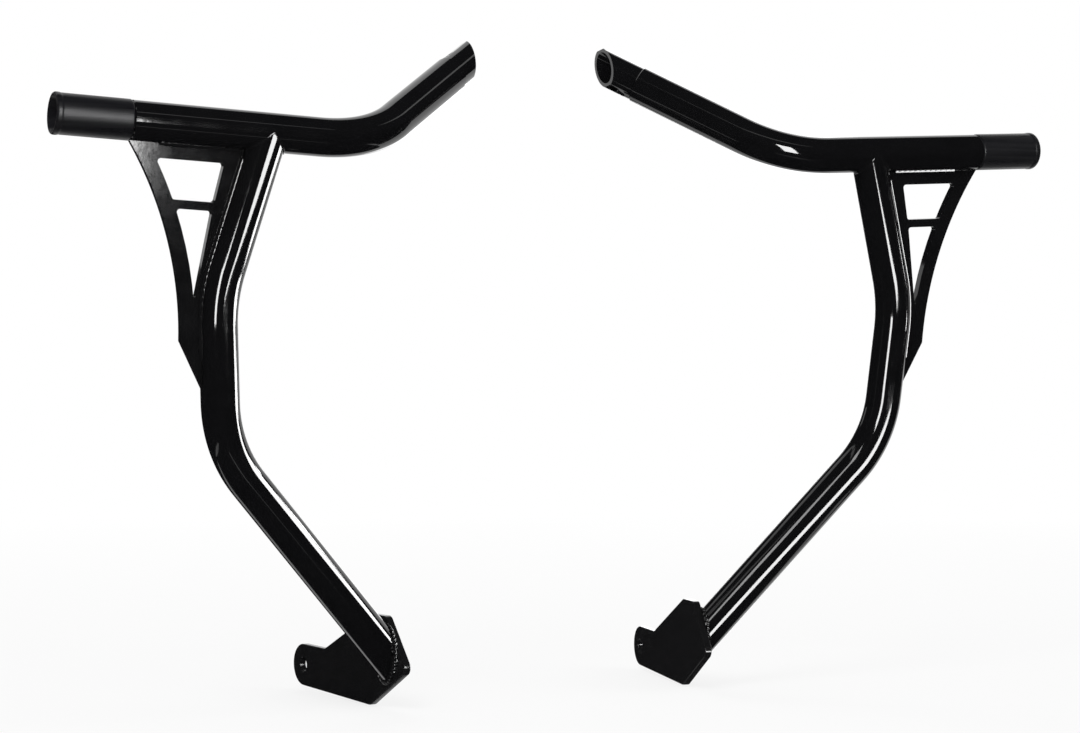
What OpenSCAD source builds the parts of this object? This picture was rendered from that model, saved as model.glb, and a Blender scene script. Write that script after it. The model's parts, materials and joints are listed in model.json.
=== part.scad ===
// A mirror pair of welded motorcycle crash bars, each with a windowed gusset,
// a flat mount plate, a turned ferrule for the frame clamp and a plastic slider.
// Front of the pair faces -Y, up is +Z, and the two bars mirror about X = 0.
// Left and right are as seen from the front.

/* [Tubes] */
// Outside diameter of both tubes
tube_od = 31.75; // [28:0.25:36]
// Wall of both tubes
tube_wall = 3; // [2:0.25:4]
// Centreline radius of the bend in the top tube
top_bend_r = 100; // [80:5:120]
// Centreline radius of the upper bend in the down tube
upper_bend_r = 140; // [100:5:160]
// Centreline radius of the lower bend in the down tube
lower_bend_r = 110; // [90:5:130]

/* [Top tube] */
// Distance of the inner tip from the middle plane
tip_x = 66; // [50:1:80]
// Distance of the top bend's corner from the middle plane
corner_x = 194; // [185:1:205]
// Distance of the tube junction from the middle plane
junction_x = 280; // [275:1:295]
// Distance of the outer face of the slider from the middle plane
slider_x = 455; // [448:1:470]
// Rise of the outer run towards the slider, in degrees
outer_rise = 2.9; // [0:0.1:5]
// How far back the inner tip lies from the top bend's corner
tip_back = 97; // [85:1:110]
// How far up the inner tip lies from the top bend's corner
tip_up = 82; // [70:1:95]

/* [Down tube] */
// Lean of the bar's main plane to the back, in degrees
main_lean = 7; // [0:0.5:12]
// Upper corner, measured outward from the junction
upper_out = 31; // [28:0.5:34]
// Upper corner, measured down from the junction
upper_drop = 134.5; // [130:0.5:140]
// Lower corner, measured outward from the junction
lower_out = 17; // [12:0.5:20]
// Lower corner, measured down from the junction
lower_drop = 256.5; // [250:0.5:265]

/* [Gusset] */
// Thickness of the gusset plate
gusset_t = 6.35; // [4:0.05:8]
// Radius of the concave outer edge
gusset_edge_r = 306; // [290:1:320]
// Centre of that edge, outward from the junction
gusset_edge_out = 365; // [360:1:368]
// Centre of that edge, down from the junction
gusset_edge_drop = 190; // [185:1:195]
// Depth of the kink where the edge turns to the tip
kink_drop = 171; // [165:1:178]
// Depth of the gusset's tip
tip_drop = 208; // [202:1:214]
// Width of the rim between the outer edge and the windows
rim_w = 12; // [8:0.5:16]
// Depth of the top edge of the upper window
window_top = 27.5; // [24:0.5:32]
// Depth of the top edge of the cross bar
bar_top = 59; // [54:0.5:64]
// Height of the cross bar between the windows
bar_h = 7; // [4:0.5:10]
// Depth of the pointed end of the lower window
window_point = 140; // [130:0.5:144]
// Width of the strip beside the down tube at the upper window
strip_w = 13; // [10:0.5:15]
// Radius in the corners of the windows
window_r = 2.5; // [1:0.25:4]

/* [Mount plate] */
// Thickness of the mount plate
plate_t = 6.35; // [4:0.05:8]
// Toe of the plate, its back end outboard, in degrees
plate_toe = 8.4; // [4:0.2:12]
// Distance of the bolt hole from the middle plane
hole_x = 169.5; // [160:0.5:180]
// How far back the bolt hole lies from the junction
hole_back = 226; // [210:1:240]
// How far down the bolt hole lies from the junction
hole_down = 454; // [440:1:470]
// Diameter of the bolt hole
hole_d = 12.5; // [8:0.5:16]
// Radius of the lug around the bolt hole
lug_r = 18.5; // [15:0.5:22]
// Distance from the bolt hole forward to where the down tube lands
landing_forward = 150; // [145:1:158]
// Height of the landing above the bolt hole
landing_up = 23; // [20:0.5:26]
// Radius on the plate's corners
plate_corner_r = 7; // [3:0.5:9]

/* [Inner ferrule] */
// Outside diameter of the bare ferrule
ferrule_od = 30.2; // [29:0.1:31.5]
// Bare length of the ferrule beyond the tube
ferrule_len = 34; // [28:0.5:42]
// Length of the ferrule's spigot inside the tube
spigot_len = 22; // [15:0.5:30]
// Bore of the ferrule's spigot
ferrule_bore = 20; // [14:0.5:22]
// Bore of the ferrule's bare end
mouth_bore = 24; // [20:0.5:25]
// Diameter of the cross bolt hole
cross_hole_d = 8.5; // [6:0.5:11]
// Distance of the cross bolt hole from the tip, along the ferrule
cross_hole_in = 18; // [17:0.5:22]
// Depth of the two flats milled on the ferrule
flat_depth = 1; // [0.6:0.1:2]
// Turn of the flats about the ferrule, from facing forward to facing down
flat_turn = 65; // [50:1:90]

/* [Slider] */
// Outside diameter of the slider
slider_od = 33.4; // [32:0.1:38]
// Length of the slider
slider_len = 62; // [50:1:75]
// Diameter of the slider's recess
recess_d = 22; // [20:0.5:25]
// Depth of the slider's recess
recess_len = 44; // [30:1:48]
// Width of the flare at the recess's mouth
flare_w = 3.6; // [2:0.1:4.5]
// Length of the flare at the recess's mouth
flare_len = 7; // [3:0.5:12]
// Diameter of the slider bolt's shank
bolt_d = 10; // [8:0.5:12]
// Diameter of the slider bolt's head
head_d = 16; // [14:0.5:18]
// Height of the slider bolt's head
head_h = 10; // [8:0.5:12]
// Width across the flats of the bolt's hexagon socket
hex_w = 8; // [6:0.5:9]
// Diameter of the washer under the bolt's head
washer_d = 20; // [18.5:0.5:21]
// Thickness of the washer
washer_t = 2; // [1:0.25:3]
// Length of the threaded bung in the tube
bung_len = 28; // [20:1:40]

/* [Welds and fits] */
// Leg of the weld beads
weld_leg = 3; // [2:0.25:4]
// Clearance between parts that slide together
fit = 0.15; // [0.05:0.05:0.3]

/* [Hidden] */
$fn = 72;

tube_r = tube_od / 2;
tube_id = tube_od - 2 * tube_wall;
flat_len = ferrule_len - 5;
far = 600;
// The fillets on the gusset stop this far above its tip
weld_end = 22;
// The bends are drawn this much slimmer, and the straight runs lap over their ends
bend_draw = 0.02;
lap = 0.5;

function unit(v) = v / norm(v);

// The outer run of the top tube points along run_dir, and in_plane_down is square to it
run_dir = [cos(outer_rise), 0, sin(outer_rise)];
in_plane_down = cos(main_lean) * [sin(outer_rise), 0, -cos(outer_rise)] + [0, sin(main_lean), 0];
plane_normal = cross(run_dir, -in_plane_down);
function on_plane(out, drop) = [junction_x, 0, 0] + out * run_dir + drop * in_plane_down;

// Corners of the top tube, from the inner tip to the slider's outer face
outer_run = (slider_x - junction_x) / cos(outer_rise);
corner_run = (junction_x - corner_x) / cos(outer_rise);
top_corner = on_plane(-corner_run, 0);
inner_tip = [tip_x, top_corner[1] + tip_back, top_corner[2] + tip_up];
slider_face = on_plane(outer_run, 0);
inner_dir = unit(top_corner - inner_tip);
tube_start = inner_tip + ferrule_len * inner_dir;
tube_end = slider_face - slider_len * run_dir;

// The mount plate's own directions: along it to the back, up, and outboard
plate_back = [sin(plate_toe), cos(plate_toe), 0];
plate_out = [cos(plate_toe), -sin(plate_toe), 0];
hole_at = [hole_x, hole_back, -hole_down];
landing = hole_at - landing_forward * plate_back + [0, 0, landing_up] + plate_t / 2 * plate_out;

// Corners of the down tube, from the junction to the plate
upper_corner = on_plane(upper_out, upper_drop);
lower_corner = on_plane(lower_out, lower_drop);
lower_dir = unit(landing - lower_corner);
top_path = [tube_start, top_corner, tube_end];
past_plate = landing + 2 * tube_od * lower_dir;
down_path = [on_plane(0, 0), upper_corner, lower_corner, past_plate];

// Edge of the gusset beside the down tube, at a given depth
tube_slope = upper_out / upper_drop;
function strip_edge(drop) = tube_slope * drop + tube_r * norm([1, tube_slope]) + strip_w
    - (drop - window_top) * strip_taper;
strip_taper = 0.06;
function edge_circle(drop, r) = gusset_edge_out - sqrt(r * r - pow(drop - gusset_edge_drop, 2));

// A window's corner at the strip, then its side along the rim from one depth to another
function rim_side(from, to) = [[strip_edge(from), -from], for (i = [0:5])
    let (drop = from + (to - from) * i / 5) [edge_circle(drop, gusset_edge_r + rim_w), -drop]];
point_r = 0.8;

// A polygon's outline with the corner at each point rounded to the radius that it names
function turn(a, p, b) = acos(unit(p - a) * unit(b - p));
function side_of(a, p, b) = sign(cross(unit(p - a), unit(b - p)));
function corner_arc(a, p, b, r, steps = 8) =
    let (t = turn(a, p, b), back = r * tan(t / 2), s = side_of(a, p, b),
         d = unit(p - a), start = p - back * d, centre = start + s * r * [-d[1], d[0]],
         from = start - centre)
    [for (i = [0:steps]) let (g = s * t * i / steps)
        centre + [from[0] * cos(g) - from[1] * sin(g), from[0] * sin(g) + from[1] * cos(g)]];
function rounded(points, radii) = let (n = len(points)) [for (i = [0:n - 1])
    each radii[i] == 0 ? [points[i]]
        : corner_arc(points[(i + n - 1) % n], points[i], points[(i + 1) % n], radii[i])];

// Outline of the mount plate: along it to the back, and up, from the bolt hole's centre
plate_points = [[0, lug_r], [-40, lug_r - 0.5], [-122, 55.5], [-149, 55.5],
                [-184, 12], [-121, -23], [0, -lug_r]];
plate_radii = [0, plate_corner_r, plate_corner_r, plate_corner_r, plate_corner_r, plate_corner_r, 0];
plate_outline = rounded(plate_points, plate_radii);

// The origin lies under the middle of the pair, at the plates' lowest edge
lowest = min([for (p = plate_outline) p[1]]) - hole_down;
rearmost = hole_back + lug_r * cos(plate_toe) + plate_t / 2 * sin(plate_toe);
foremost = -slider_od / 2;
origin_shift = [0, -(rearmost + foremost) / 2, -lowest];

// Places a child whose Z axis runs along z and whose X axis leans towards x
module along(origin, z, x) {
    k = unit(z);
    i = unit(x - (x * k) * k);
    j = cross(k, i);
    multmatrix([[i[0], j[0], k[0], origin[0]],
                [i[1], j[1], k[1], origin[1]],
                [i[2], j[2], k[2], origin[2]],
                [0, 0, 0, 1]]) children();
}

function bend_back(a, p, b, r) = r * tan(turn(a, p, b) / 2);

module section(r, bore) {
    difference() {
        circle(r = r);
        if (bore > 0) circle(r = bore);
    }
}

// One straight run of tube, or a solid rod where bore is 0
module run(a, b, r, bore) {
    along(a, b - a, plane_normal) linear_extrude(norm(b - a)) section(r, bore);
}

// The bend at corner p on the way from a to b, seated inside the runs that it joins
module bend(a, p, b, bend_r, r, bore) {
    d = unit(p - a);
    e = unit(b - p);
    inward = unit(e - (e * d) * d);
    start = p - bend_back(a, p, b, bend_r) * d;
    along(start + bend_r * inward, cross(-inward, d), -inward)
        rotate_extrude(angle = turn(a, p, b)) translate([bend_r, 0])
            section(r - bend_draw, bore > 0 ? bore + bend_draw : 0);
}

module top_shape(r, bore) {
    back = bend_back(top_path[0], top_path[1], top_path[2], top_bend_r);
    union() {
        run(top_path[0], top_path[1] - (back - lap) * inner_dir, r, bore);
        bend(top_path[0], top_path[1], top_path[2], top_bend_r, r, bore);
        run(top_path[1] + (back - lap) * run_dir, top_path[2], r, bore);
    }
}

module down_shape(r, bore) {
    first = unit(down_path[1] - down_path[0]);
    middle = unit(down_path[2] - down_path[1]);
    back1 = bend_back(down_path[0], down_path[1], down_path[2], upper_bend_r);
    back2 = bend_back(down_path[1], down_path[2], down_path[3], lower_bend_r);
    union() {
        run(down_path[0], down_path[1] - (back1 - lap) * first, r, bore);
        bend(down_path[0], down_path[1], down_path[2], upper_bend_r, r, bore);
        run(down_path[1] + (back1 - lap) * middle, down_path[2] - (back2 - lap) * middle, r, bore);
        bend(down_path[1], down_path[2], down_path[3], lower_bend_r, r, bore);
        run(down_path[2] + (back2 - lap) * lower_dir, down_path[3], r, bore);
    }
}

// A rod along the outer run of the top tube, used to cope what meets it
module top_rod(r) {
    run(on_plane(-corner_run / 2, 0), on_plane(outer_run, 0), r, 0);
}

module top_tube() {
    color("#0b0b0d") top_shape(tube_r, tube_id / 2);
}

// Everything on the inboard side of the mount plate's outboard face
module inboard_side() {
    along(hole_at + plate_t / 2 * plate_out, -plate_out, plate_back)
        translate([-far, -far, 0]) cube([2 * far, 2 * far, far / 4]);
}

module down_tube() {
    color("#0b0b0d") difference() {
        down_shape(tube_r, tube_id / 2);
        top_rod(tube_r + fit);
        inboard_side();
    }
}

// The gusset is drawn outward and up from the junction, in the bar's main plane
module gusset_plane() {
    along(on_plane(0, 0), plane_normal, run_dir) children();
}

module gusset_profile() {
    kink_out = edge_circle(kink_drop, gusset_edge_r);
    top_out = edge_circle(tube_r / 2, gusset_edge_r);
    axis_slope = (upper_out - lower_out) / (lower_drop - upper_drop);
    tip_axis = upper_out - (tip_drop - upper_drop) * axis_slope;
    difference() {
        polygon([[0, 0], [top_out, 0], [top_out, -kink_drop], [kink_out, -kink_drop],
                 [tip_axis + tube_r, -tip_drop], [tip_axis, -tip_drop], [upper_out, -upper_drop]]);
        translate([gusset_edge_out, -gusset_edge_drop]) circle(r = gusset_edge_r, $fn = 240);
        polygon(rounded(concat(rim_side(window_top, bar_top), [[strip_edge(bar_top), -bar_top]]),
                        [window_r, window_r, 0, 0, 0, 0, window_r, window_r]));
        polygon(rounded(rim_side(bar_top + bar_h, window_point),
                        [window_r, window_r, 0, 0, 0, 0, point_r]));
    }
}

module gusset() {
    color("#101012") difference() {
        gusset_plane() linear_extrude(gusset_t, center = true) gusset_profile();
        top_rod(tube_r + fit);
        down_shape(tube_r + fit, 0);
    }
}

module mount_plate() {
    color("#141416") along(hole_at, plate_out, plate_back)
        linear_extrude(plate_t, center = true) difference() {
            union() {
                circle(r = lug_r);
                polygon(plate_outline);
            }
            circle(d = hole_d);
        }
}

// One milled flat, its far end rounded by the cutter
module flat_cut() {
    cutter_r = 9;
    translate([0, ferrule_od / 2 - flat_depth, 0]) {
        translate([-ferrule_od / 2, 0, -ferrule_od]) cube([ferrule_od, ferrule_od, ferrule_od + flat_len - cutter_r]);
        translate([0, 0, flat_len - cutter_r]) rotate([-90, 0, 0]) cylinder(h = ferrule_od, r = cutter_r);
    }
}

// Turned ferrule: a spigot inside the tube, then the bare end with its flats and cross hole.
// Its end is cut off along the motorcycle's middle plane.
module end_ferrule() {
    color("#121214") difference() {
        along(inner_tip, inner_dir, [0, 0, 1]) rotate([0, 0, flat_turn]) difference() {
            rotate_extrude() polygon([[mouth_bore / 2, -ferrule_od], [ferrule_od / 2, -ferrule_od],
                [ferrule_od / 2, ferrule_len - fit], [tube_id / 2 - fit, ferrule_len - fit],
                [tube_id / 2 - fit, ferrule_len + spigot_len - 1],
                [tube_id / 2 - fit - 1, ferrule_len + spigot_len],
                [ferrule_bore / 2, ferrule_len + spigot_len], [ferrule_bore / 2, ferrule_len - 4],
                [mouth_bore / 2, ferrule_len - 4]]);
            translate([0, 0, cross_hole_in]) rotate([90, 0, 0])
                cylinder(h = 2 * ferrule_od, d = cross_hole_d, center = true);
            flat_cut();
            rotate([0, 0, 180]) flat_cut();
        }
        translate([tip_x - far, inner_tip[1] - far / 2, inner_tip[2] - far / 2]) cube(far);
    }
}

// The slider's parts stand on its outer face, with Z into the tube
module at_slider() {
    along(slider_face, -run_dir, [0, 0, 1]) children();
}

module slider() {
    r = slider_od / 2;
    color("#1e1e22") at_slider() rotate_extrude()
        polygon([[r - 1.5, 0], [r, 1.5], [r, 4], [r - 0.4, 6], [r - 0.4, slider_len - 1],
                 [r - 1.4, slider_len - fit], [bolt_d / 2 + 0.5, slider_len - fit],
                 [bolt_d / 2 + 0.5, recess_len], [recess_d / 2, recess_len],
                 [recess_d / 2, flare_len], [recess_d / 2 + flare_w, 0]]);
}

module slider_washer() {
    color("#8c8e92") at_slider() translate([0, 0, recess_len - washer_t]) difference() {
        cylinder(h = washer_t, d = washer_d);
        translate([0, 0, -1]) cylinder(h = washer_t + 2, d = bolt_d + 0.6);
    }
}

// Socket head cap screw, its shank run into the bung
module slider_bolt() {
    seat = recess_len - washer_t;
    shank_end = slider_len + bung_len - 4;
    color("#2a2a2d") at_slider() difference() {
        union() {
            translate([0, 0, seat - head_h]) cylinder(h = head_h, d = head_d);
            translate([0, 0, seat - 1]) cylinder(h = shank_end - seat + 1, d = bolt_d - 0.1);
        }
        translate([0, 0, seat - head_h - 1]) cylinder(h = head_h / 2 + 1, d = hex_w / cos(30), $fn = 6);
    }
}

module threaded_bung() {
    color("#77787c") at_slider() translate([0, 0, slider_len]) difference() {
        cylinder(h = bung_len, d = tube_id - 2 * fit);
        translate([0, 0, -1]) cylinder(h = bung_len + 2, d = bolt_d);
    }
}

// Weld around the coped end of the down tube
module tube_weld() {
    start = on_plane(0, 0);
    color("#1a1a1c") difference() {
        intersection() {
            top_rod(tube_r + weld_leg);
            run(start, (start + upper_corner) / 2, tube_r + weld_leg * 0.8, 0);
        }
        top_rod(tube_r + fit);
        run(start - tube_od * unit(upper_corner - start), upper_corner, tube_r, 0);
        gusset_plane() translate([0, -far / 2, -gusset_t / 2]) cube([far, far / 2, gusset_t]);
    }
}

// The slab that holds the fillets on both faces of the gusset
module weld_slab() {
    gusset_plane() linear_extrude(gusset_t + 2 * weld_leg, center = true) children();
}

// Fillets along both faces of the gusset, on the top tube and on the down tube
module gusset_weld() {
    first = tube_r + weld_leg + 4;
    length = edge_circle(tube_r + weld_leg, gusset_edge_r) - first - 3;
    last = tip_drop - weld_end;
    color("#1a1a1c") difference() {
        union() {
            intersection() {
                weld_slab() translate([first + tube_slope * first, -first - 6]) square([length, first]);
                top_rod(tube_r + weld_leg);
            }
            intersection() {
                weld_slab() polygon([[tube_slope * first, -first], [upper_out, -upper_drop],
                    [upper_out, -last], [upper_out + 2 * tube_od, -last], [upper_out + 2 * tube_od, -first]]);
                down_shape(tube_r + weld_leg * 0.8, 0);
            }
        }
        top_rod(tube_r);
        down_shape(tube_r, 0);
        gusset_plane() translate([0, -far / 2, -gusset_t / 2]) cube([far, far / 2, gusset_t]);
    }
}

// Weld around the down tube's foot on the mount plate
module plate_weld() {
    color("#1a1a1c") difference() {
        intersection() {
            run(landing - far / 8 * lower_dir, past_plate, tube_r + weld_leg, 0);
            along(landing, plate_out, plate_back) translate([-tube_od * 2, -tube_od * 2, 0])
                cube([tube_od * 4, tube_od * 4, weld_leg]);
        }
        run(landing - far / 4 * lower_dir, past_plate + tube_od * lower_dir, tube_r, 0);
    }
}

// The right bar lies at +X, and the left one is its mirror image
module right() {
    translate(origin_shift) children();
}

module left() {
    mirror([1, 0, 0]) right() children();
}

left() top_tube();  // left_top_tube
right() top_tube();  // right_top_tube
left() down_tube();  // left_down_tube
right() down_tube();  // right_down_tube
left() gusset();  // left_gusset
right() gusset();  // right_gusset
left() mount_plate();  // left_mount_plate
right() mount_plate();  // right_mount_plate
left() end_ferrule();  // left_end_ferrule
right() end_ferrule();  // right_end_ferrule
left() slider();  // left_slider
right() slider();  // right_slider
left() slider_bolt();  // left_slider_bolt
right() slider_bolt();  // right_slider_bolt
left() slider_washer();  // left_slider_washer
right() slider_washer();  // right_slider_washer
left() threaded_bung();  // left_threaded_bung
right() threaded_bung();  // right_threaded_bung
left() tube_weld();  // left_tube_weld
right() tube_weld();  // right_tube_weld
left() gusset_weld();  // left_gusset_weld
right() gusset_weld();  // right_gusset_weld
left() plate_weld();  // left_plate_weld
right() plate_weld();  // right_plate_weld
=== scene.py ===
# %% [markdown]
# # A pair of welded motorcycle crash bars
#
# Each bar is a steel tube frame: a top tube that reaches from the frame clamp to the slider,
# and a down tube that is coped under it and runs down to a flat mount plate. A windowed
# gusset stiffens the corner. Everything steel is powder coated black, so the render stands
# or falls with three things: clean tube surfaces, rounded plate edges, and what they reflect.
#
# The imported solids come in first. They fix every size and place in metres, and the pieces
# that follow are dressed over them.

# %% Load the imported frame
import json
import math

import bmesh
import bpy
from mathutils import Matrix, Vector

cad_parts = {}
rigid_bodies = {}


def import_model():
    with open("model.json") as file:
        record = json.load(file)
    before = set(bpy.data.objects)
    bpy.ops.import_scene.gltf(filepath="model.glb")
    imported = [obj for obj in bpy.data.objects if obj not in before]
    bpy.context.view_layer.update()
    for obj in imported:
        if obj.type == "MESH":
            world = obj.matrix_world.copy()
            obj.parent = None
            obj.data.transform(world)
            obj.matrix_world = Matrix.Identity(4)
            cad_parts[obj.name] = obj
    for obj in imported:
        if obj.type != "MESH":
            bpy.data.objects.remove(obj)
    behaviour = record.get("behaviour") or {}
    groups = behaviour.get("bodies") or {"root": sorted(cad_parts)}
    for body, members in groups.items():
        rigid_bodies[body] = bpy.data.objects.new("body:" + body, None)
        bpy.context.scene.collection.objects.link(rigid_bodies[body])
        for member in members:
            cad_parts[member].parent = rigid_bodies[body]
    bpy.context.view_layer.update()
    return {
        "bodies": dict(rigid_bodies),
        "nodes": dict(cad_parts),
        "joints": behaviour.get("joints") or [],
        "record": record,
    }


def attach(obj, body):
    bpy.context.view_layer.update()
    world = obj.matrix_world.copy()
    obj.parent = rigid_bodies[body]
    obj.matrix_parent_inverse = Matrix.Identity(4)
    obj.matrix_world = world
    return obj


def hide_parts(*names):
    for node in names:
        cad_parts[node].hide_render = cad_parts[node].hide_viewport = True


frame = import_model()
scene = bpy.context.scene
nodes = frame["nodes"]

# %% [markdown]
# ## The camera
#
# The camera's place came from solving for the view in which both bars of the pair fall on
# the photographed ones. It looks in from the front left at the height of the bars' middle.
# A long lens, 85 mm on a 36 mm sensor, keeps the perspective as flat as in the photograph.

# %% Camera
camera_data = bpy.data.cameras.new("camera")
camera_data.lens = 85.1
camera_data.sensor_width = 36
camera_data.shift_x = -0.0047
camera_data.clip_end = 50
camera = bpy.data.objects.new("camera", camera_data)
camera_right = Vector((0.9068, -0.4215, -0.0030)).normalized()
camera_ahead = Vector((0.4215, 0.9068, -0.0014)).normalized()
camera_up = camera_right.cross(camera_ahead).normalized()
turn = Matrix((camera_right, camera_up, -camera_ahead)).transposed().to_4x4()
camera.matrix_world = Matrix.Translation((-0.9390, -2.0533, 0.2924)) @ turn
scene.collection.objects.link(camera)
scene.camera = camera
print("camera at", [round(v, 3) for v in camera.location], "lens", camera_data.lens)

# %% [markdown]
# ## Studio
#
# The background is white paper. The world shows white to the camera and to reflections, and
# lights the object at a calmer level, so that the white doesn't wash out the black paint.

# %% World
scene.view_settings.view_transform = "Standard"
world = bpy.data.worlds.new("studio")
scene.world = world
world.use_nodes = True
tree = world.node_tree
tree.nodes.clear()
rays = tree.nodes.new("ShaderNodeLightPath")
seen_or_mirrored = tree.nodes.new("ShaderNodeMath")
seen_or_mirrored.operation = "MAXIMUM"
tree.links.new(rays.outputs["Is Camera Ray"], seen_or_mirrored.inputs[0])
tree.links.new(rays.outputs["Is Glossy Ray"], seen_or_mirrored.inputs[1])
shown = tree.nodes.new("ShaderNodeMath")
shown.operation = "MAXIMUM"
tree.links.new(seen_or_mirrored.outputs[0], shown.inputs[0])
tree.links.new(rays.outputs["Is Transmission Ray"], shown.inputs[1])
ambient = tree.nodes.new("ShaderNodeBackground")
ambient.inputs["Strength"].default_value = 0.6
paper = tree.nodes.new("ShaderNodeBackground")
paper.inputs["Color"].default_value = (1, 1, 1, 1)
paper.inputs["Strength"].default_value = 1.0
choice = tree.nodes.new("ShaderNodeMixShader")
output = tree.nodes.new("ShaderNodeOutputWorld")
tree.links.new(shown.outputs[0], choice.inputs[0])
tree.links.new(ambient.outputs[0], choice.inputs[1])
tree.links.new(paper.outputs[0], choice.inputs[2])
tree.links.new(choice.outputs[0], output.inputs[0])
print("world: white to the camera,", ambient.inputs["Strength"].default_value, "as light")

# %% [markdown]
# ## The floor
#
# Only a real surface can catch the soft shadow under the plates, so the floor is a large flat
# sheet just below them. A plain pale sheet would meet the world's white in a grey line. So a
# white glow that only the camera sees is mixed into it, and it takes over with distance.

# %% Floor
FLOOR_HALF, FLOOR_Z = 12, -0.0005
FADE_START, FADE_END = 0.5, 2.6
floor_material = bpy.data.materials.new("floor")
floor_material.use_nodes = True
floor_nodes, floor_links = floor_material.node_tree.nodes, floor_material.node_tree.links
floor_shader = floor_nodes["Principled BSDF"]
floor_shader.inputs["Base Color"].default_value = (0.92, 0.92, 0.92, 1)
floor_shader.inputs["Roughness"].default_value = 0.9
floor_shader.inputs["Specular IOR Level"].default_value = 0.1
floor_glow = floor_nodes.new("ShaderNodeEmission")
floor_place = floor_nodes.new("ShaderNodeTexCoord")
floor_reach = floor_nodes.new("ShaderNodeVectorMath")
floor_reach.operation = "LENGTH"
floor_fade = floor_nodes.new("ShaderNodeMapRange")
floor_fade.inputs["From Min"].default_value = FADE_START
floor_fade.inputs["From Max"].default_value = FADE_END
floor_fade.inputs["To Min"].default_value = 0.8
floor_fade.inputs["To Max"].default_value = 1.0
floor_rays = floor_nodes.new("ShaderNodeLightPath")
floor_seen = floor_nodes.new("ShaderNodeMath")
floor_seen.operation = "MULTIPLY"
floor_mix = floor_nodes.new("ShaderNodeMixShader")
floor_links.new(floor_place.outputs["Object"], floor_reach.inputs[0])
floor_links.new(floor_reach.outputs["Value"], floor_fade.inputs["Value"])
floor_links.new(floor_fade.outputs[0], floor_seen.inputs[0])
floor_links.new(floor_rays.outputs["Is Camera Ray"], floor_seen.inputs[1])
floor_links.new(floor_seen.outputs[0], floor_mix.inputs[0])
floor_links.new(floor_shader.outputs[0], floor_mix.inputs[1])
floor_links.new(floor_glow.outputs[0], floor_mix.inputs[2])
floor_links.new(floor_mix.outputs[0], floor_nodes["Material Output"].inputs["Surface"])
floor_mesh = bpy.data.meshes.new("floor")
floor_mesh.from_pydata([(x * FLOOR_HALF, y * FLOOR_HALF, FLOOR_Z)
                        for x, y in ((-1, -1), (1, -1), (1, 1), (-1, 1))], [], [(0, 1, 2, 3)])
floor_mesh.materials.append(floor_material)
floor = bpy.data.objects.new("floor", floor_mesh)
scene.collection.objects.link(floor)
floor.visible_glossy = False
print("floor laid", -1000 * FLOOR_Z, "mm below the plates")

# %% [markdown]
# ## Softboxes and dark cards
#
# Black gloss shows nothing of its own: it shows the room. A lamp would only leave a dot in it,
# so the crisp white lines down the tubes are strip softboxes, made as glowing cards on a ring
# round the object. Dark cards fill the room between them, and above and below, as in a real
# studio, or the paint would look grey. The floor is left out of reflections and the cards
# reach below it, so that no line breaks off halfway down a tube.

# %% Glowing and dark cards
def emission(name, color, strength):
    """A plain glowing material."""
    material = bpy.data.materials.new(name)
    material.use_nodes = True
    nodes_ = material.node_tree.nodes
    nodes_.clear()
    glow = nodes_.new("ShaderNodeEmission")
    glow.inputs["Color"].default_value = (*color, 1)
    glow.inputs["Strength"].default_value = strength
    out = nodes_.new("ShaderNodeOutputMaterial")
    material.node_tree.links.new(glow.outputs[0], out.inputs["Surface"])
    return material


def sheet(name, points, faces, material):
    """A sheet that is seen by gloss alone: not by the camera, and not as light or shadow."""
    mesh = bpy.data.meshes.new(name)
    mesh.from_pydata(points, [], faces)
    mesh.materials.append(material)
    piece = bpy.data.objects.new(name, mesh)
    scene.collection.objects.link(piece)
    piece.visible_camera = False
    piece.visible_diffuse = False
    piece.visible_shadow = False
    piece.visible_transmission = False
    return piece


def card(name, centre, across, up, width, height, material):
    """A rectangle from its centre, its two directions, its width and its height."""
    across, up, centre = Vector(across).normalized(), Vector(up).normalized(), Vector(centre)
    corners = [centre + sx * width / 2 * across + sy * height / 2 * up
               for sx, sy in ((-1, -1), (1, -1), (1, 1), (-1, 1))]
    sheet(name, corners, [(0, 1, 2, 3)], material)


print("cards show only in reflections")

# %% [markdown]
# Cards are placed by degrees to the right of the camera and by height, because that is how a
# line on a tube is read: further round the tube means further round the room. A line that has
# to stay straight on a bent tube needs a card that leans, so one kind takes a list of levels.

# %% Places round the studio
SOFTBOX_R, DARK_R = 2.4, 3.0
view_turn = math.atan2(-camera_ahead.y, -camera_ahead.x)


def round_studio(degrees, radius, height):
    """A point on a circle round the object, counted to the right from the camera."""
    angle = view_turn + math.radians(degrees)
    return Vector((math.cos(angle) * radius, math.sin(angle) * radius, height))


def standing_card(name, degrees, radius, z, width, height, material):
    """An upright rectangle that faces the middle of the studio."""
    centre = round_studio(degrees, radius, z)
    inward = Vector((-centre.x, -centre.y, 0)).normalized()
    card(name, centre, inward.cross(Vector((0, 0, 1))), (0, 0, 1), width, height, material)


def leaning_card(name, half_width, levels, material, radius):
    """A strip that follows pairs of degrees and height, half_width degrees to each side."""
    rows = [[round_studio(a + s * half_width, radius, z) for s in (-1, 1)] for a, z in levels]
    faces = [(2 * i, 2 * i + 1, 2 * i + 3, 2 * i + 2) for i in range(len(rows) - 1)]
    return sheet(name, [p for row in rows for p in row], faces, material)


print("camera's own direction:", round(math.degrees(view_turn), 1), "degrees")

# %% [markdown]
# The two bars were photographed one at a time, each with its lamps placed for it. Light
# linking does the same: a card that is linked to a collection shows only in the pieces there,
# or in all pieces but those, where they are marked as excluded. The collections are filled
# further down, once the pieces are made.

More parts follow.
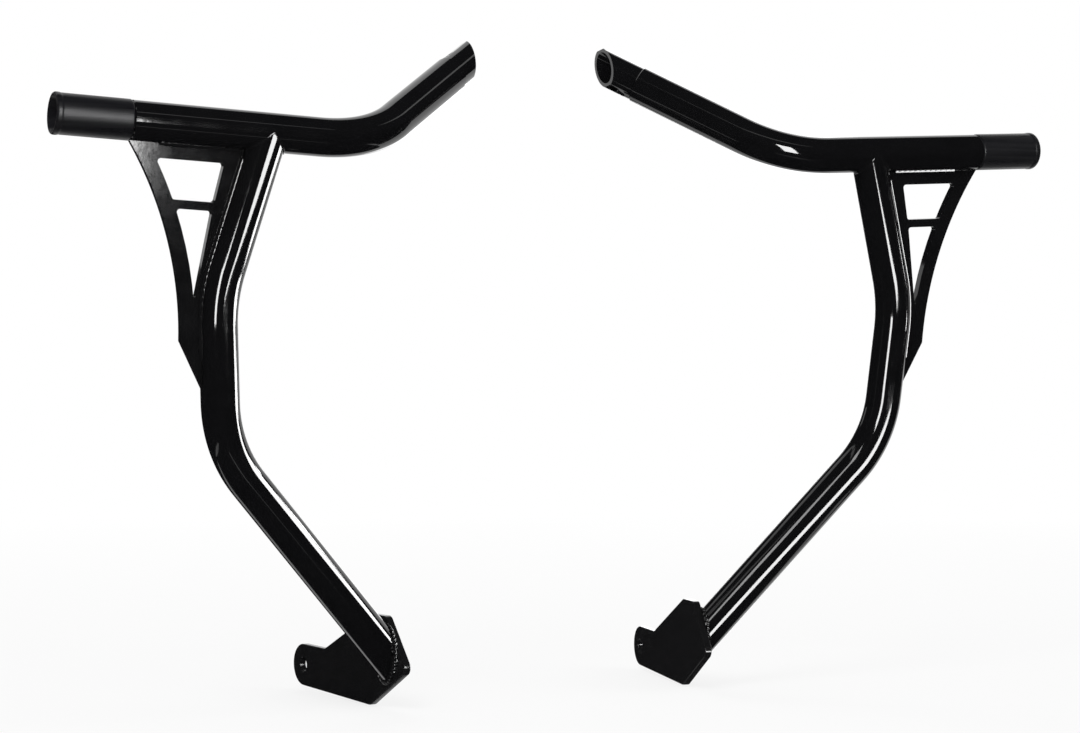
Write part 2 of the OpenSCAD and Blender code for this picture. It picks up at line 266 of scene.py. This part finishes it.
# %% Softboxes
SHOWN_IN = {"right": ["right_down_tube_skin", "right_foot_bead", "right_bracket"],
            "left": ["left_down_tube_skin", "left_foot_bead", "left_bracket"],
            "right_seams": ["right_gusset_beads"],
            "all_but_down_tubes": ["right_down_tube_skin", "left_down_tube_skin"]}
lit = {name: bpy.data.collections.new("lit_" + name) for name in SHOWN_IN}
softbox = emission("softbox", (1, 1, 1), 22)
weak_softbox = emission("weak_softbox", (1, 1, 1), 7)
rear_softbox = emission("rear_softbox", (1, 1, 1), 3)
faint_softbox = emission("faint_softbox", (1, 1, 1), 1)
# Name, half width in degrees, levels, material, pieces that show it, radius in metres. Where
# two strips would cross, one of them stands a little further out.
STRIPS = (
    ("near", 5.5, [(25, 1.2), (25, 0.02)], softbox, "all_but_down_tubes", SOFTBOX_R),
    ("near_left", 13, [(45, 0.9), (45, -0.04), (38, -0.13)], softbox, "left", 2.44),
    ("far_left", 11, [(112, 0.95), (103, 0.75), (94, 0.5), (96, 0.35), (113, 0.12),
                      (114, 0.0), (108, -0.2), (107, -0.37)], softbox, "left", SOFTBOX_R),
    ("front_left", 5, [(-14, 0.55), (-14, -0.2)], softbox, "left", 2.5),
    ("low_right", 17, [(45, -0.25), (45, -0.72)], softbox, "right", SOFTBOX_R),
    ("front_right", 6, [(-4, 0.42), (-4, -0.22)], softbox, "right", SOFTBOX_R),
    ("far_right", 7, [(100, 0.75), (100, 0.02)], softbox, "right", 2.5),
    ("high_right", 9, [(-14, 1.9), (-14, 1.35)], weak_softbox, "right", SOFTBOX_R),
    ("seams_right", 20, [(84, 0.9), (84, 0.0), (74, -0.5), (70, -1.3)], softbox,
     "right_seams", 2.55))
for name, half_width, levels, material, group, radius in STRIPS:
    strip = leaning_card("softbox_" + name, half_width, levels, material, radius)
    strip.light_linking.receiver_collection = lit[group]
standing_card("softbox_back", 172, SOFTBOX_R, 0.6, 0.5, 2.4, rear_softbox)
standing_card("softbox_rim", -129, SOFTBOX_R, 0.95, 0.5, 0.5, faint_softbox)
print("softboxes:", len(STRIPS) + 2)

# %% [markdown]
# Dark cards make the black. They stand in a ring that is left open behind the object: the thin
# pale rim along a tube's edge is a reflection from far behind it, where the white world and
# the softbox at the back may shine. A roof and a base close the ring above and below.

# %% Dark cards
DARK_CARDS, FIRST_DEGREES, STEP_DEGREES = 15, -152, 19
DARK_Z, DARK_WIDTH, DARK_HEIGHT = 0.6, 1.02, 4.6
dark = emission("dark_card", (0.012, 0.012, 0.013), 1)
for k in range(DARK_CARDS):
    standing_card("dark_card_%02d" % k, FIRST_DEGREES + k * STEP_DEGREES, DARK_R, DARK_Z,
                  DARK_WIDTH, DARK_HEIGHT, dark)
card("dark_roof", (0, -0.6, 2.9), (1, 0, 0), (0, 1, 0), 5, 4, dark)
card("dark_base", (0, -0.6, -1.7), (1, 0, 0), (0, 1, 0), 5.4, 4.4, dark)
print("dark cards:", DARK_CARDS + 2)

# %% [markdown]
# ## Lamps
#
# Three broad, plain lamps light the paint itself and lay the soft shadow. They are left out
# of reflections, so that only the cards draw lines on the gloss.

# %% Lamps
MIDDLE = Vector((0, 0, 0.28))


def lamp(name, place, size, watts):
    """A square lamp that points at the middle of the pair."""
    data = bpy.data.lights.new(name, "AREA")
    data.shape = "SQUARE"
    data.size = size
    data.energy = watts
    light = bpy.data.objects.new(name, data)
    light.location = place
    light.rotation_euler = (MIDDLE - Vector(place)).to_track_quat("-Z", "Y").to_euler()
    light.visible_glossy = False
    light.visible_camera = False
    scene.collection.objects.link(light)
    print(name, watts, "W")


lamp("key_lamp", (-1.6, -1.8, 2.4), 1.4, 38)
lamp("fill_lamp", (2.2, -1.4, 1.6), 1.6, 18)
lamp("back_lamp", (0.3, 2.4, 2.2), 1.6, 20)

# %% [markdown]
# ## Powder coat and the other finishes
#
# Powder melts and flows into a thick, hard gloss. It is never quite flat: a slow ripple
# called orange peel bends the edges of every reflection a little. A noise texture drives a
# weak bump for it, and a finer one varies the roughness. The plates get the same powder
# over a laser-cut face, which comes out a shade duller.

# %% Material helper
def finish(name, color, roughness, ripple, spread, spread_scale, tint, metallic=0.0,
           specular=0.5, stretch=(1, 1, 1)):
    """A painted or bare surface with a noise ripple, and a spread in roughness and colour."""
    material = bpy.data.materials.new(name)
    material.use_nodes = True
    links, made = material.node_tree.links, material.node_tree.nodes
    shader = made["Principled BSDF"]
    shader.inputs["Base Color"].default_value = (*color, 1)
    shader.inputs["Roughness"].default_value = roughness
    shader.inputs["Metallic"].default_value = metallic
    shader.inputs["Specular IOR Level"].default_value = specular
    place = made.new("ShaderNodeTexCoord")
    mapping = made.new("ShaderNodeMapping")
    mapping.inputs["Scale"].default_value = stretch
    links.new(place.outputs["Object"], mapping.inputs["Vector"])
    noise = made.new("ShaderNodeTexNoise")
    noise.inputs["Scale"].default_value = spread_scale
    noise.inputs["Detail"].default_value = 4
    links.new(mapping.outputs[0], noise.inputs["Vector"])
    band = made.new("ShaderNodeMapRange")
    band.inputs["From Min"].default_value = 0.3
    band.inputs["From Max"].default_value = 0.7
    band.inputs["To Min"].default_value = max(0.02, roughness - spread)
    band.inputs["To Max"].default_value = roughness + spread
    links.new(noise.outputs["Fac"], band.inputs["Value"])
    links.new(band.outputs[0], shader.inputs["Roughness"])
    shade = made.new("ShaderNodeMix")
    shade.data_type = "RGBA"
    shade.inputs["A"].default_value = (*[c * (1 - tint) for c in color], 1)
    shade.inputs["B"].default_value = (*[min(1, c * (1 + tint)) for c in color], 1)
    links.new(noise.outputs["Fac"], shade.inputs["Factor"])
    links.new(shade.outputs["Result"], shader.inputs["Base Color"])
    scale, depth = ripple
    wave = made.new("ShaderNodeTexNoise")
    wave.inputs["Scale"].default_value = scale
    wave.inputs["Detail"].default_value = 2
    links.new(mapping.outputs[0], wave.inputs["Vector"])
    bump = made.new("ShaderNodeBump")
    bump.inputs["Strength"].default_value = 1
    bump.inputs["Distance"].default_value = depth
    links.new(wave.outputs["Fac"], bump.inputs["Height"])
    links.new(bump.outputs[0], shader.inputs["Normal"])
    print("finish", name, "roughness", roughness)
    return material


# %% [markdown]
# The tubes have the deepest gloss. The gusset is nearly as smooth, and the mount plates and
# the welds are duller. The sliders are bare plastic with faint streaks along their length,
# which come from a noise that is drawn out that way. Bolts and washers are bought parts.

# %% The finishes of this pair
gloss_black = finish("gloss_powder_coat", (0.005, 0.005, 0.0055), 0.06, ripple=(260, 0.000012),
                     spread=0.02, spread_scale=45, tint=0.2)
plate_black = finish("plate_powder_coat", (0.0085, 0.0085, 0.009), 0.13, ripple=(300, 0.000012),
                     spread=0.03, spread_scale=90, tint=0.3)
gusset_black = finish("gusset_powder_coat", (0.006, 0.006, 0.0065), 0.07, ripple=(260, 0.000012),
                      spread=0.02, spread_scale=60, tint=0.25)
weld_black = finish("coated_weld", (0.007, 0.007, 0.0075), 0.10, ripple=(500, 0.00001),
                    spread=0.04, spread_scale=200, tint=0.2)
slider_plastic = finish("turned_plastic", (0.0085, 0.0085, 0.0105), 0.36, ripple=(30, 0.00006),
                        spread=0.10, spread_scale=12, stretch=(0.35, 24, 24), tint=0.45)
black_oxide = finish("black_oxide", (0.02, 0.02, 0.022), 0.34, specular=0.6,
                     ripple=(900, 0.00001), spread=0.08, spread_scale=300, tint=0.4)
zinc = finish("zinc_plate", (0.48, 0.48, 0.47), 0.32, metallic=1.0, ripple=(600, 0.00001),
              spread=0.08, spread_scale=250, tint=0.15)

# %% [markdown]
# ## Where the tubes run
#
# The bars are drawn from a few corner points, as on a bender's set-up sheet: straight runs
# that meet at corners, and a centreline radius at each corner. All lengths here are in
# millimetres, in the shared frame, for the right bar. The left bar is its mirror image.

# %% Corner points
TUBE_R, TUBE_WALL = 15.875, 3.0
ORIGIN = Vector((0, -114.033, 476.929))
JUNCTION = Vector((280, 0, 0)) + ORIGIN
RUN_DIR = Vector((0.998719, 0, 0.0505929)).normalized()
PLANE_DOWN = Vector((0.0502158, 0.121869, -0.991275)).normalized()
PLANE_NORMAL = RUN_DIR.cross(-PLANE_DOWN).normalized()
TUBE_START = Vector((90.1342, 78.7108, 62.1824)) + ORIGIN
TOP_CORNER = Vector((194, 0, -4.35657)) + ORIGIN
TUBE_END = Vector((393.079, 0, 5.72836)) + ORIGIN
UPPER_CORNER = Vector((317.714, 16.3914, -131.758)) + ORIGIN
LOWER_CORNER = Vector((309.859, 31.2595, -253.402)) + ORIGIN
LANDING = Vector((150.728, 77.1453, -431)) + ORIGIN
PLATE_OUT = Vector((0.989272, -0.146083, 0)).normalized()
TOP_BEND, UPPER_BEND, LOWER_BEND = 100, 140, 110
SIDES = (("right", 1), ("left", -1))
print("junction", [round(v, 1) for v in JUNCTION], "landing", [round(v, 1) for v in LANDING])

# %% [markdown]
# A bending machine turns each corner into an arc, and the same is done here: the line stops
# short of the corner and a fan of points goes round the bend's centre. A straight run needs
# only its ends, with one more point close to each bend, which keeps the bend's shading out
# of the straight.

# %% From corners to stations
NEAR_BEND, FAN_DEGREES = 1.5, 1.2


def stations(corners, radii):
    """Centreline points with their directions: the two ends, and for each bend a fan of
    points and one point on either side of it."""
    found = [(corners[0], (corners[1] - corners[0]).normalized())]
    for i, bend in enumerate(radii, start=1):
        before = (corners[i] - corners[i - 1]).normalized()
        after = (corners[i + 1] - corners[i]).normalized()
        angle = before.angle(after)
        back = bend * math.tan(angle / 2)
        inward = (after - after.dot(before) * before).normalized()
        start = corners[i] - back * before
        centre = start + bend * inward
        found.append((start - NEAR_BEND * before, before))
        count = max(6, math.ceil(math.degrees(angle) / FAN_DEGREES))
        for k in range(count + 1):
            a = angle * k / count
            place = centre + bend * (-math.cos(a) * inward + math.sin(a) * before)
            heading = (math.cos(a) * before + math.sin(a) * inward).normalized()
            found.append((place, heading))
        found.append((corners[i] + (back + NEAR_BEND) * after, after))
    found.append((corners[-1], (corners[-1] - corners[-2]).normalized()))
    return found


top_line = stations([TUBE_START, TOP_CORNER, TUBE_END], [TOP_BEND])
down_line = stations([JUNCTION, UPPER_CORNER, LOWER_CORNER, LANDING], [UPPER_BEND, LOWER_BEND])
print("stations:", len(top_line), "along the top tube,", len(down_line), "along the down tube")

# %% [markdown]
# ## The tubes
#
# A gloss surface shows every flat facet, so the tubes are not borrowed from the packed
# solids. Rings of 96 points are carried along the line instead. They are carried without
# twisting, so that the faces between two rings stay narrow and straight.

# %% Rings along a line
RING = 96


def carried_frames(line, first_side):
    """A pair of cross directions at each station, carried along without twist."""
    side = (first_side - first_side.dot(line[0][1]) * line[0][1]).normalized()
    frames = []
    for place, heading in line:
        side = (side - side.dot(heading) * heading).normalized()
        frames.append((place, heading, side, heading.cross(side)))
    return frames


def ring(place, side, other, radius):
    """A circle of points round a station."""
    return [place + radius * (math.cos(2 * math.pi * k / RING) * side
                              + math.sin(2 * math.pi * k / RING) * other) for k in range(RING)]


top_frames = carried_frames(top_line, PLANE_NORMAL)
down_frames = carried_frames(down_line, PLANE_NORMAL)
print("points round the tube:", RING)

# %% [markdown]
# Every piece that is built from points goes through one helper. It turns millimetres into
# metres, mirrors the left bar, and shades the faces smooth. Smooth shading alone would smear
# the light round a tube's end, so edges sharper than a set angle are kept as creases.

# %% From points to a piece
TUBE_CREASE, BEAD_CREASE = 35, 80


def mesh_piece(name, points, faces, material, mirror, crease=TUBE_CREASE):
    """Millimetres in, an object in metres out, with the left bar's faces turned over. Edges
    sharper than crease, in degrees, keep their own normals."""
    mesh = bpy.data.meshes.new(name)
    mesh.from_pydata([(mirror * p.x / 1000, p.y / 1000, p.z / 1000) for p in points], [],
                     faces if mirror == 1 else [tuple(reversed(f)) for f in faces])
    mesh.materials.append(material)
    mesh.shade_smooth()
    mesh.set_sharp_from_angle(angle=math.radians(crease))
    piece = bpy.data.objects.new(name, mesh)
    scene.collection.objects.link(piece)
    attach(piece, "root")
    return piece


def tube_mesh(rings_out, rings_in):
    """Outer skin, inner skin and the two end faces between them."""
    points, faces, rows = [], [], []
    for r in rings_out + list(reversed(rings_in)):
        rows.append(len(points))
        points.extend(r)
    for a, b in zip(rows, rows[1:] + rows[:1]):
        for k in range(RING):
            n = (k + 1) % RING
            faces.append((a + k, a + n, b + n, b + k))
    return points, faces


print("edges stay sharp above", TUBE_CREASE, "degrees, on beads above", BEAD_CREASE)

# %% [markdown]
# The upper end of the down tube is coped, which means that it is cut to the curve of the tube
# it meets, like a fish's mouth. The lower end is cut flat, at a slant, to stand on the mount
# plate. A boolean cut would leave ragged facets beside the gloss, so each point of the end
# ring is slid along the tube until it touches, and then a little further, out of sight.

# %% Ends that meet another surface
COPE_SINK, FOOT_SINK = 0.4, 0.3


def onto_top_tube(p, heading, sink=0.0):
    """Slides a point along heading until it lies sink under the top tube's round side."""
    beside = min(abs((p - JUNCTION).dot(PLANE_NORMAL)), TUBE_R)
    depth = math.sqrt(TUBE_R ** 2 - beside ** 2) - sink - (p - JUNCTION).dot(PLANE_DOWN)
    return p + heading * depth / heading.dot(PLANE_DOWN)


def onto_plate(p, heading, sink=0.0):
    """Slides a point along heading until it lies sink under the mount plate's face."""
    return p + heading * ((LANDING - sink * PLATE_OUT - p).dot(PLATE_OUT)
                          / heading.dot(PLATE_OUT))


print("ends run", COPE_SINK, "and", FOOT_SINK, "mm under the beads")

# %% [markdown]
# Each tube is an outer skin, an inner skin and the walls that join them at both ends. The
# open ends of the top tube get a small round, which a saw cut has after deburring.

# %% Top tubes and down tubes
END_BACK, END_IN = 0.7, 0.6
TUBE_BORE = TUBE_R - TUBE_WALL


def skin(frames, radius):
    """A ring at every station."""
    return [ring(place, side, other, radius) for place, _, side, other in frames]


def top_outside():
    """The top tube's outer skin, with its two end rings drawn in for the round."""
    rows = skin(top_frames, TUBE_R)
    for end, inside in ((0, 1), (-1, -1)):
        place, heading, side, other = top_frames[end]
        rows[end] = ring(place + inside * END_BACK * heading, side, other, TUBE_R)
    lips = skin([top_frames[0], top_frames[-1]], TUBE_R - END_IN)
    return [lips[0]] + rows + [lips[1]]


def down_skin(radius):
    """One skin of the down tube, its two end rings slid onto what they meet."""
    rows = skin(down_frames, radius)
    rows[0] = [onto_top_tube(p, down_frames[0][1], COPE_SINK) for p in rows[0]]
    rows[-1] = [onto_plate(p, down_frames[-1][1], FOOT_SINK) for p in rows[-1]]
    return rows


for side_name, mirror in SIDES:
    for node, outer, inner in (("top_tube", top_outside(), skin(top_frames, TUBE_BORE)),
                               ("down_tube", down_skin(TUBE_R), down_skin(TUBE_BORE))):
        name = side_name + "_" + node
        points, faces = tube_mesh(outer, inner)
        piece = mesh_piece(name + "_skin", points, faces, gloss_black, mirror)
        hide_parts(name)
        print(name, "points:", len(points))

# %% [markdown]
# ## Plates, ferrules and their edges
#
# Laser-cut plate is deburred before coating, and the powder rounds its edges further. Those
# edges catch the light as thin bright lines, which a sharp-edged solid can't do. Here the
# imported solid's own mesh is copied, its flat faces are merged, and a bevel rounds the edges.

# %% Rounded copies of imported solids
SAME_POINT, FLAT_DEGREES, EDGE_DEGREES = 2e-6, 0.6, 32


def rounded_copy(node, name, width, material):
    """A copy of a node's mesh that stands for it, its edges rounded by width millimetres."""
    mesh = nodes[node].data.copy()
    mesh.name = name
    work = bmesh.new()
    work.from_mesh(mesh)
    bmesh.ops.remove_doubles(work, verts=work.verts, dist=SAME_POINT)
    bmesh.ops.dissolve_limit(work, angle_limit=math.radians(FLAT_DEGREES), verts=work.verts,
                             edges=work.edges, delimit={"NORMAL"})
    work.to_mesh(mesh)
    work.free()
    mesh.materials.clear()
    mesh.materials.append(material)
    mesh.shade_smooth()
    piece = bpy.data.objects.new(name, mesh)
    scene.collection.objects.link(piece)
    bevel = piece.modifiers.new("edges", "BEVEL")
    bevel.width = width / 1000
    bevel.segments = 3
    bevel.limit_method = "ANGLE"
    bevel.angle_limit = math.radians(EDGE_DEGREES)
    bevel.harden_normals = True
    bevel.use_clamp_overlap = True
    even = piece.modifiers.new("even", "WEIGHTED_NORMAL")
    even.keep_sharp = True
    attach(piece, "root")
    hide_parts(node)
    print(name, "edges rounded by", width, "mm")


for side_name, _ in SIDES:
    for node, name, width, material, slot in (
            ("gusset", "gusset_plate", 0.6, gusset_black, "plate_black"),
            ("mount_plate", "bracket", 0.8, plate_black, "plate_black"),
            ("end_ferrule", "ferrule", 0.5, gloss_black, "gloss_black")):
        rounded_copy(side_name + "_" + node, side_name + "_" + name, width, material)

# %% [markdown]
# ## Sliders
#
# The sliders are turned from black plastic bar: a low lip at the mouth, a flare, and a deep
# bore that hides the bolt's head. A lathe only needs half a section, so the piece is a
# profile spun round the tube's axis, with its corners already rounded in the profile.

# %% Profiles and how they are spun
ROUND_STEPS, SIDE_SHARE = 5, 0.45


def rounded_profile(corners):
    """Radius and depth pairs, each corner rounded by the third number."""
    found = []
    count = len(corners)
    for i, (r, z, fillet) in enumerate(corners):
        here = Vector((r, z))
        before = Vector(corners[i - 1][:2]) - here
        after = Vector(corners[(i + 1) % count][:2]) - here
        if not fillet or i in (0, count - 1):
            found.append(here)
            continue
        reach = min(fillet, before.length * SIDE_SHARE, after.length * SIDE_SHARE)
        a, b = here + before.normalized() * reach, here + after.normalized() * reach
        for k in range(ROUND_STEPS + 1):
            t = k / ROUND_STEPS
            found.append(a.lerp(here, t).lerp(here.lerp(b, t), t))
    return found


def spun(profile, origin, axis, first_side):
    """Spins a profile of radius and depth round an axis. Its two ends stay open."""
    side = (first_side - first_side.dot(axis) * axis).normalized()
    other = axis.cross(side)
    points, faces = [], []
    for radius, depth in profile:
        points.extend(ring(origin + depth * axis, side, other, radius))
    for row in range(len(profile) - 1):
        a, b = row * RING, (row + 1) * RING
        for k in range(RING):
            n = (k + 1) % RING
            faces.append((a + n, a + k, b + k, b + n))
    return points, faces


print("steps round each corner:", ROUND_STEPS)

# %% [markdown]
# The section starts at the bolt hole and runs out through the recess and its flare, over the
# lip and back along the outside. A fine step behind the lip catches the light as a line.

# %% Turned slider
SLIDER_FACE = Vector((455, 0, 8.86512)) + ORIGIN
SLIDER_R, SLIDER_LEN, RECESS_R, RECESS_LEN = 16.7, 62, 11, 44
BOLT_HOLE_R, FLARE_LEN, FLARE_W = 5.6, 7.2, 3.4
LIP_END, BODY_START, BODY_STEP, JOINT_GAP = 4.2, 5.6, 0.4, 0.15
# Radius, depth and rounding of each corner.
slider_section = rounded_profile([
    (BOLT_HOLE_R, RECESS_LEN, 0), (RECESS_R, RECESS_LEN, 0.6), (RECESS_R, FLARE_LEN, 1.6),
    (RECESS_R + FLARE_W, 0.15, 0.8), (SLIDER_R - 0.9, 0.0, 0.7), (SLIDER_R, 1.3, 1.0),
    (SLIDER_R, LIP_END, 0.5), (SLIDER_R - BODY_STEP, BODY_START, 0.5),
    (SLIDER_R - BODY_STEP, SLIDER_LEN - 1.2, 0.8),
    (SLIDER_R - 1.5, SLIDER_LEN - JOINT_GAP, 0.3), (BOLT_HOLE_R, SLIDER_LEN - JOINT_GAP, 0)])
for side_name, mirror in SIDES:
    points, faces = spun(slider_section, SLIDER_FACE, -RUN_DIR, PLANE_NORMAL)
    piece = mesh_piece(side_name + "_slider_turned", points, faces, slider_plastic,
                       mirror)
    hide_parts(side_name + "_slider")
print("slider profile points:", len(slider_section))

# %% [markdown]
# ## Weld beads
#
# A hand-welded bead is a row of frozen ripples, each laid over the last like fallen coins.
# Each bead follows the line where two surfaces meet. Its section spans the corner from one
# surface to the other, and its height swells and sinks with the ripples.

# %% Bead builder
ACROSS = 10
# Shares of a bead's leg: its height on a flat, what a corner adds and what a ripple adds.
FLAT_RISE, CORNER_RISE, RIPPLE_RISE = 0.06, 0.24, 0.55
# How deep the edges lie under the surface in mm, and how far a ripple bows in pitches.
EDGE_SINK, RIPPLE_BOW = 0.25, 0.32
# The wave's power and middle, the size of a bead's first point and the points it grows over.
WAVE_POWER, WAVE_MIDDLE, END_SIZE, END_POINTS = 0.7, 0.6, 0.25, 6


def bead(seam, leg, pitch, closed, ripple):
    """A strip over a seam, which is a list of points with the outward normals of the two
    surfaces. Leg is its reach on each surface, pitch the length of a ripple."""
    points, faces, travelled = [], [], 0.0
    count = len(seam)
    for i, (p, n1, n2) in enumerate(seam):
        ahead = seam[(i + 1) % count if closed else min(i + 1, count - 1)][0]
        behind = seam[i - 1 if closed or i else 0][0]
        tangent = (ahead - behind).normalized()
        if i:
            travelled += (p - seam[i - 1][0]).length
        a1 = n1.cross(tangent).normalized()
        a1 = a1 if a1.dot(n2) >= 0 else -a1
        a2 = n2.cross(tangent).normalized()
        a2 = a2 if a2.dot(n1) >= 0 else -a2
        if a1.dot(a2) < -0.98:
            a2 = -a1
        out = (n1 + n2).normalized()
        corner = 1 - max(0.0, n1.dot(n2))
        fade = 1.0 if closed else min(1, END_SIZE + min(i, count - 1 - i) / END_POINTS)
        for k in range(ACROSS + 1):
            u = k / ACROSS
            arch = 4 * u * (1 - u)
            phase = travelled / pitch + RIPPLE_BOW * arch
            wave = abs(math.sin(math.pi * phase)) ** WAVE_POWER
            size = leg * fade * (1 + ripple * (wave - WAVE_MIDDLE))
            flat = size * ((1 - u) * a1 + u * a2)
            swell = RIPPLE_RISE * ripple * (wave - 0.5)
            rise = size * arch * (FLAT_RISE + CORNER_RISE * corner + swell)
            sink = -EDGE_SINK * (1 - arch)
            points.append(p + flat + (rise + sink) * out)
    width = ACROSS + 1
    for i in range(count if closed else count - 1):
        a, b = i * width, ((i + 1) % count) * width
        for k in range(ACROSS):
            faces.append((a + k, b + k, b + k + 1, a + k + 1))
    return points, faces


print("points across a bead:", ACROSS + 1)

# %% [markdown]
# A seam may run either way round, so the faces of its strip may look into the corner. They
# are held against the seam's own normals and turned over where they do.

# %% Beads as pieces
def outward(points, faces, seam):
    """Turns the faces over if they look into the corner."""
    f = faces[len(faces) // 2]
    a, b, c = (points[i] for i in f[:3])
    n1, n2 = min(seam, key=lambda s: (s[0] - a).length)[1:]
    if (b - a).cross(c - a).dot(n1 + n2) < 0:
        return [tuple(reversed(g)) for g in faces]
    return faces


def weld_piece(name, seams, leg, pitch, closed, ripple, node, mirror):
    """All the beads of one node as one piece, which stands for it."""
    points, faces = [], []
    for seam in seams:
        p, f = bead(seam, leg, pitch, closed, ripple)
        f = outward(p, f, seam)
        start = len(points)
        points.extend(p)
        faces.extend(tuple(start + i for i in g) for g in f)
    piece = mesh_piece(name, points, faces, weld_black, mirror, BEAD_CREASE)
    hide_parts(node)
    print(name, "bead points:", len(points))


# %% [markdown]
# A seam comes as points that lie closer in some places than in others. A welder's hand moves
# at an even speed, so the points are laid out anew at even steps before a bead follows them.

# %% Even steps along a seam
SEAM_STEP = 0.45


def resampled(seam, closed):
    """The same seam at even steps, with its normals blended between the given points."""
    pts = seam + [seam[0]] if closed else seam
    lengths = [0.0]
    for a, b in zip(pts, pts[1:]):
        lengths.append(lengths[-1] + (b[0] - a[0]).length)
    total = lengths[-1]
    count = max(8, round(total / SEAM_STEP))
    found, j = [], 0
    for i in range(count if closed else count + 1):
        s = total * i / count
        while j < len(lengths) - 2 and lengths[j + 1] < s:
            j += 1
        t = (s - lengths[j]) / max(1e-9, lengths[j + 1] - lengths[j])
        a, b = pts[j], pts[j + 1]
        found.append((a[0].lerp(b[0], t), a[1].lerp(b[1], t).normalized(),
                      a[2].lerp(b[2], t).normalized()))
    return found


print("a point every", SEAM_STEP, "mm of seam")

# %% [markdown]
# The seams at the down tube's two ends are found by the same slide as the ends themselves.
# Under the top tube two round sides meet, and the line between them rises and falls. At the
# foot the tube stands on the plate at a slant, and the line is an ellipse.

# %% Seams round the down tube's ends
SEAM_POINTS = 240


def from_top_axis(p):
    """The direction in which a point lies from the top tube's axis."""
    offset = p - JUNCTION
    return (offset - offset.dot(RUN_DIR) * RUN_DIR).normalized()


def end_seam(frame, landed, outward_there):
    """Round one end of the down tube. Landed slides a point onto the surface that the tube
    meets, and outward_there gives that surface's direction at a point."""
    place, heading, side, other = frame
    seam = []
    for k in range(SEAM_POINTS):
        a = 2 * math.pi * k / SEAM_POINTS
        radial = math.cos(a) * side + math.sin(a) * other
        p = landed(place + TUBE_R * radial, heading)
        seam.append((p, outward_there(p), radial))
    return resampled(seam, True)


cope = end_seam(down_frames[0], onto_top_tube, from_top_axis)
foot = end_seam(down_frames[-1], onto_plate, lambda p: PLATE_OUT)
print("seam points:", len(cope), "under the top tube,", len(foot), "at the foot")

# %% [markdown]
# The gusset is welded on both faces, along the top tube and down the outer side of the down
# tube. It is thinner than the tube, so each seam runs where the plate's face meets the round
# side, a little off the tube's middle line.

# %% Seams along the gusset
GUSSET_HALF = 6.35 / 2
SEAM_R = math.sqrt(TUBE_R ** 2 - GUSSET_HALF ** 2)
TOP_SPAN, DOWN_SPAN, DOWN_END = (24, 91), (21, 186), 235


def top_seam(face):
    """Along the underside of the top tube, on one face of the gusset."""
    start, end = TOP_SPAN
    seam = []
    steps = int((end - start) / SEAM_STEP)
    for i in range(steps + 1):
        x = start + (end - start) * i / steps
        p = JUNCTION + x * RUN_DIR + SEAM_R * PLANE_DOWN + face * GUSSET_HALF * PLANE_NORMAL
        n1 = (SEAM_R * PLANE_DOWN + face * GUSSET_HALF * PLANE_NORMAL).normalized()
        seam.append((p, n1, face * PLANE_NORMAL))
    return seam


def down_seam(face):
    """Down the outboard side of the down tube, on one face of the gusset."""
    start, end = DOWN_SPAN
    seam = []
    for place, heading in down_line:
        out = RUN_DIR - RUN_DIR.dot(heading) * heading
        out = (out - out.dot(PLANE_NORMAL) * PLANE_NORMAL).normalized()
        p = place + SEAM_R * out + face * GUSSET_HALF * PLANE_NORMAL
        n1 = (SEAM_R * out + face * GUSSET_HALF * PLANE_NORMAL).normalized()
        depth = (place - JUNCTION).dot(PLANE_DOWN)
        seam.append((depth, p, n1, face * PLANE_NORMAL))
    even = resampled([s[1:] for s in seam if s[0] < DOWN_END], False)
    return [s for s in even if start < (s[0] - JUNCTION).dot(PLANE_DOWN) < end]


gusset_seams = [top_seam(1), top_seam(-1), down_seam(1), down_seam(-1)]
print("gusset seams:", [len(seam) for seam in gusset_seams], "points")

# %% [markdown]
# Only the bead round the foot has ripples that show from a step away. The two others were
# laid so evenly, and coated so thickly, that they look smooth.

# %% The beads
# Name, seams, leg and pitch in mm, closed or not, strength of the ripple, replaced node.
BEADS = (("cope_bead", [cope], 1.3, 2.6, True, 0.02, "tube_weld"),
         ("gusset_beads", gusset_seams, 2.4, 5.5, False, 0.02, "gusset_weld"),
         ("foot_bead", [foot], 3.0, 3.6, True, 0.30, "plate_weld"))
for side_name, mirror in SIDES:
    for name, seams, leg, pitch, closed, ripple, node in BEADS:
        weld_piece(side_name + "_" + name, seams, leg, pitch, closed, ripple,
                   side_name + "_" + node, mirror)

# %% [markdown]
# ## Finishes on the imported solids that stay
#
# The bolt, the washer and the threaded bung have the right shape already, so the packed
# solids stay and only take their finish.

# %% Bolts, washers and bungs
for side_name, _ in SIDES:
    for node, material in (("slider_bolt", black_oxide), ("slider_washer", zinc),
                           ("threaded_bung", zinc)):
        solid = nodes[side_name + "_" + node]
        solid.data.materials.clear()
        solid.data.materials.append(material)
        print(solid.name, "takes", material.name)

# %% [markdown]
# ## Which softbox shows in which piece
#
# Now that the pieces exist, the collections that the softboxes are linked to can be filled.
# The last one works the other way round: its pieces are left out and all others are lit.

# %% Fill the linked collections
for name, pieces in SHOWN_IN.items():
    for piece_name in pieces:
        lit[name].objects.link(bpy.data.objects[piece_name])
for held in lit["all_but_down_tubes"].collection_objects:
    held.light_linking.link_state = "EXCLUDE"
